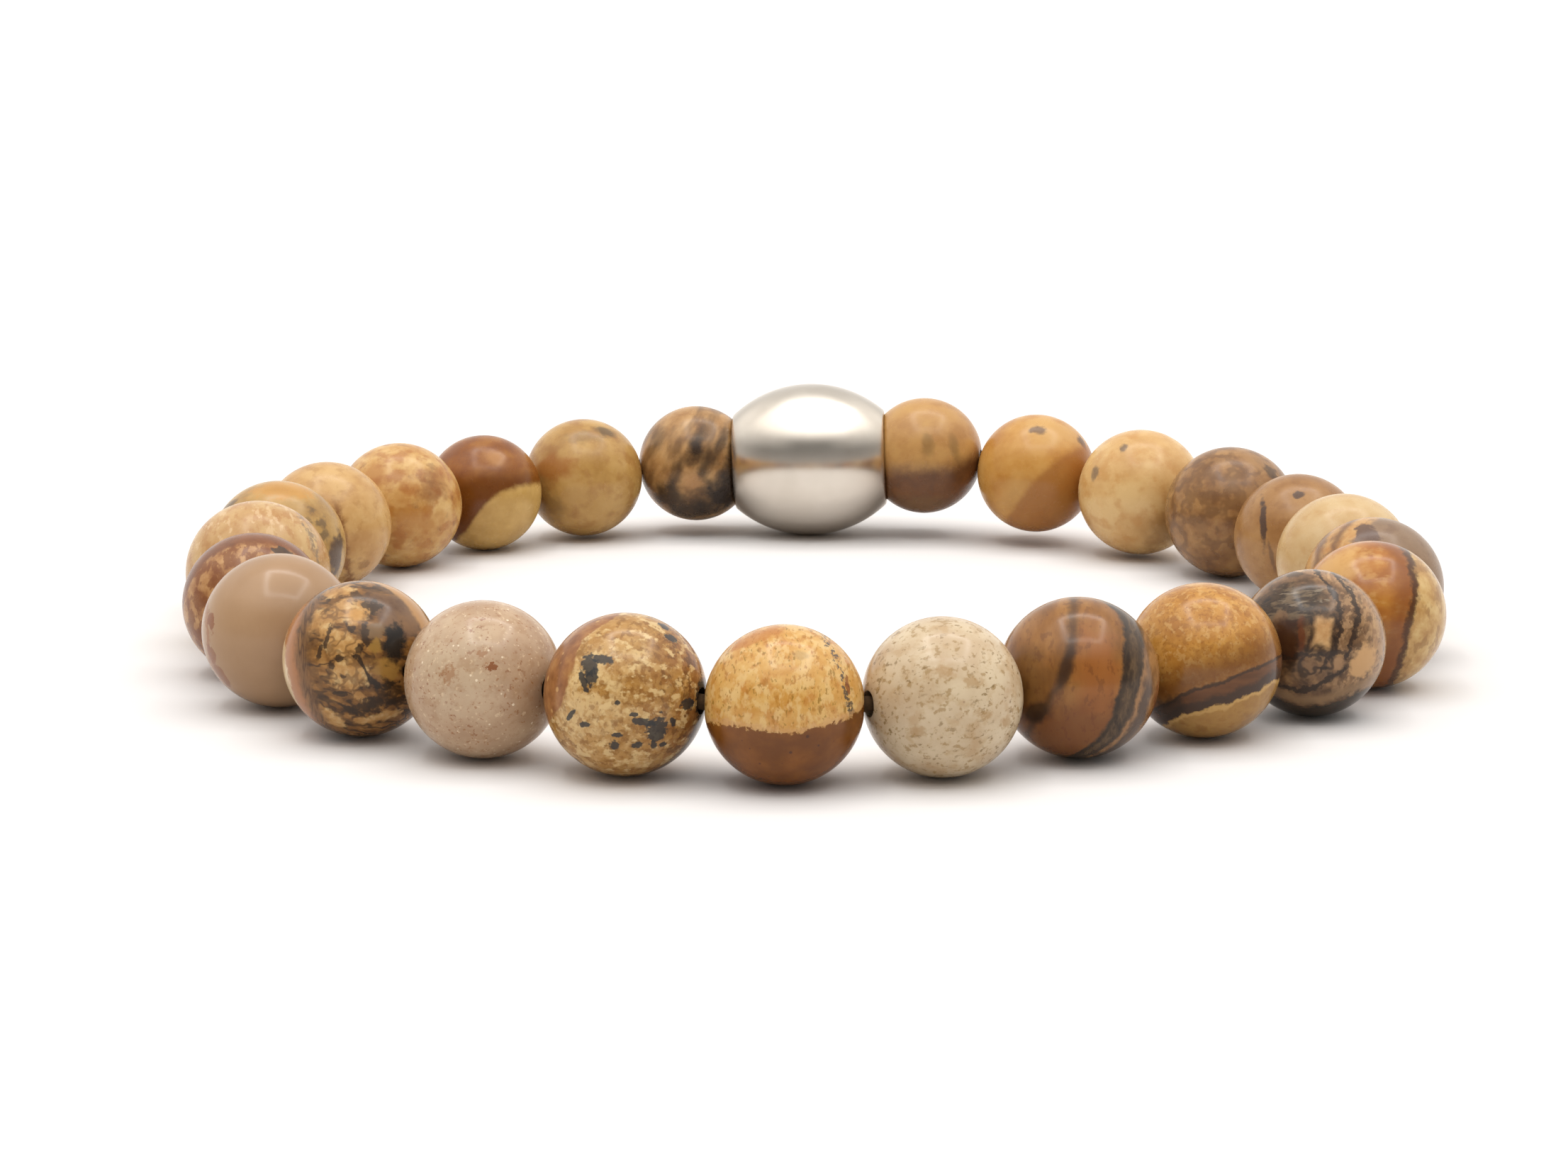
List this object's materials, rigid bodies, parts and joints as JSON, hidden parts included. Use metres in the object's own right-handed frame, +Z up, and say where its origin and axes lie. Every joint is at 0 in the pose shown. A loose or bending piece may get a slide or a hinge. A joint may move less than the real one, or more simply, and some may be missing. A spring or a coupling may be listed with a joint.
{
  "type": "beaded bracelet",
  "caption": "Stretch bracelet of round polished picture jasper beads and a plain steel barrel bead on an elastic cord, lying flat.",
  "frame": {"origin": "middle of the ring on the table it lies on", "axes": "+Z up, the short way through the ring; the barrel bead lies at +Y; the front beads lie at -Y"},
  "size_m": [0.0724, 0.0762, 0.0104],
  "materials": {
    "jasper_taupe": "polished",
    "jasper_cream": "polished",
    "jasper_golden": "polished",
    "jasper_caramel": "polished",
    "jasper_mauve": "polished",
    "stainless_steel": "polished",
    "elastic": "matte"
  },
  "bodies": {
    "root": {"jasper_bead_01": "jasper_taupe", "jasper_bead_02": "jasper_mauve", "jasper_bead_03": "jasper_taupe", "jasper_bead_04": "jasper_cream", "jasper_bead_05": "jasper_golden", "jasper_bead_06": "jasper_cream", "jasper_bead_07": "jasper_caramel", "jasper_bead_08": "jasper_golden", "jasper_bead_09": "jasper_mauve", "jasper_bead_10": "jasper_caramel", "jasper_bead_11": "jasper_mauve", "jasper_bead_12": "jasper_cream", "jasper_bead_13": "jasper_golden", "jasper_bead_14": "jasper_mauve", "jasper_bead_15": "jasper_golden", "jasper_bead_16": "jasper_caramel", "jasper_bead_17": "jasper_caramel", "jasper_bead_18": "jasper_caramel", "jasper_bead_19": "jasper_golden", "jasper_bead_20": "jasper_caramel", "jasper_bead_21": "jasper_golden", "jasper_bead_22": "jasper_cream", "jasper_bead_23": "jasper_golden", "jasper_bead_24": "jasper_cream", "jasper_bead_25": "jasper_caramel", "steel_barrel_bead": "stainless_steel", "elastic_cord": "elastic"}
  },
  "joints": []
}
